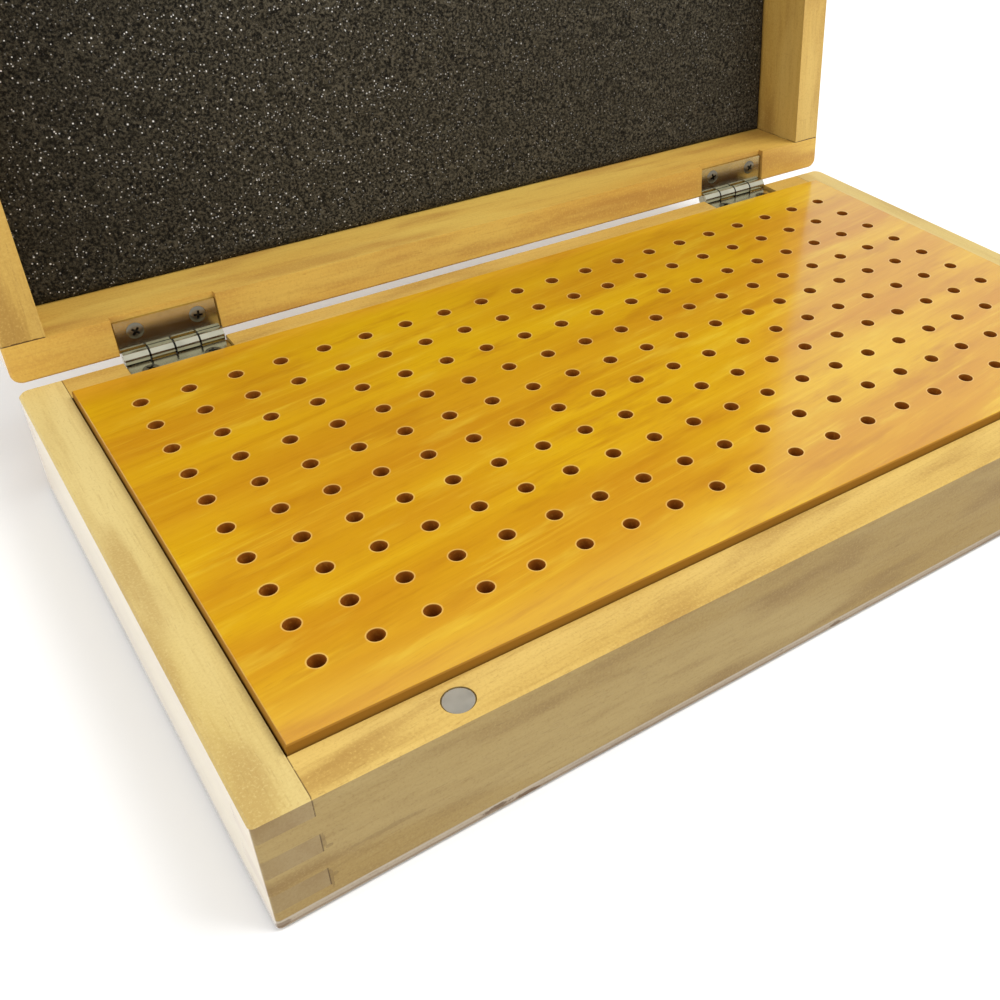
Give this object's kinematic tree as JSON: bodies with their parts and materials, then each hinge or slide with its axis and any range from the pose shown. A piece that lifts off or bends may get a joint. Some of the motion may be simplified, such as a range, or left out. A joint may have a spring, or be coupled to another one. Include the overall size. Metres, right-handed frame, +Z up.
{
  "type": "bur holder box",
  "caption": "Shallow wooden box holding a drilled block for rotary burs, under a deep foam-lined lid on two butt hinges that stands open by itself.",
  "frame": {"origin": "centre of the box's underside, where it rests", "axes": "+X along the hinges to the right, +Y from the front to the hinged back, +Z up"},
  "size_m": [0.207, 0.1613, 0.1435],
  "materials": {
    "long_rail_wood": "planed and sanded, satin",
    "side_rail_wood": "planed and sanded, satin",
    "panel_wood": "sanded thin ply",
    "block_wood": "gloss lacquer over amber wood",
    "foam": "open-cell charcoal foam",
    "hinge_nickel": "nickel plated",
    "screw_steel": "nickel plated",
    "magnet_nickel": "bright nickel"
  },
  "bodies": {
    "base": {"base_front_rail": "long_rail_wood", "base_back_rail": "long_rail_wood", "base_left_rail": "side_rail_wood", "base_right_rail": "side_rail_wood", "base_panel": "panel_wood", "bur_block": "block_wood", "base_hinge_leaf_left": "hinge_nickel", "hinge_pin_left": "hinge_nickel", "base_magnet_left": "magnet_nickel", "base_hinge_leaf_right": "hinge_nickel", "hinge_pin_right": "hinge_nickel", "base_magnet_right": "magnet_nickel", "base_hinge_screw_1": "screw_steel", "base_hinge_screw_2": "screw_steel", "base_hinge_screw_3": "screw_steel", "base_hinge_screw_4": "screw_steel"},
    "lid": {"lid_front_rail": "long_rail_wood", "lid_back_rail": "long_rail_wood", "lid_left_rail": "side_rail_wood", "lid_right_rail": "side_rail_wood", "lid_panel": "panel_wood", "lid_foam": "foam", "lid_hinge_leaf_left": "hinge_nickel", "lid_magnet_left": "magnet_nickel", "lid_hinge_leaf_right": "hinge_nickel", "lid_magnet_right": "magnet_nickel", "lid_hinge_screw_1": "screw_steel", "lid_hinge_screw_2": "screw_steel", "lid_hinge_screw_3": "screw_steel", "lid_hinge_screw_4": "screw_steel"}
  },
  "joints": [
    {"name": "lid_hinge", "type": "hinge", "parent": "base", "child": "lid", "pos_m": [0, 0.06125, 0.02185], "axis": [1, 0, 0], "range_deg": [0, 92.6]}
  ]
}
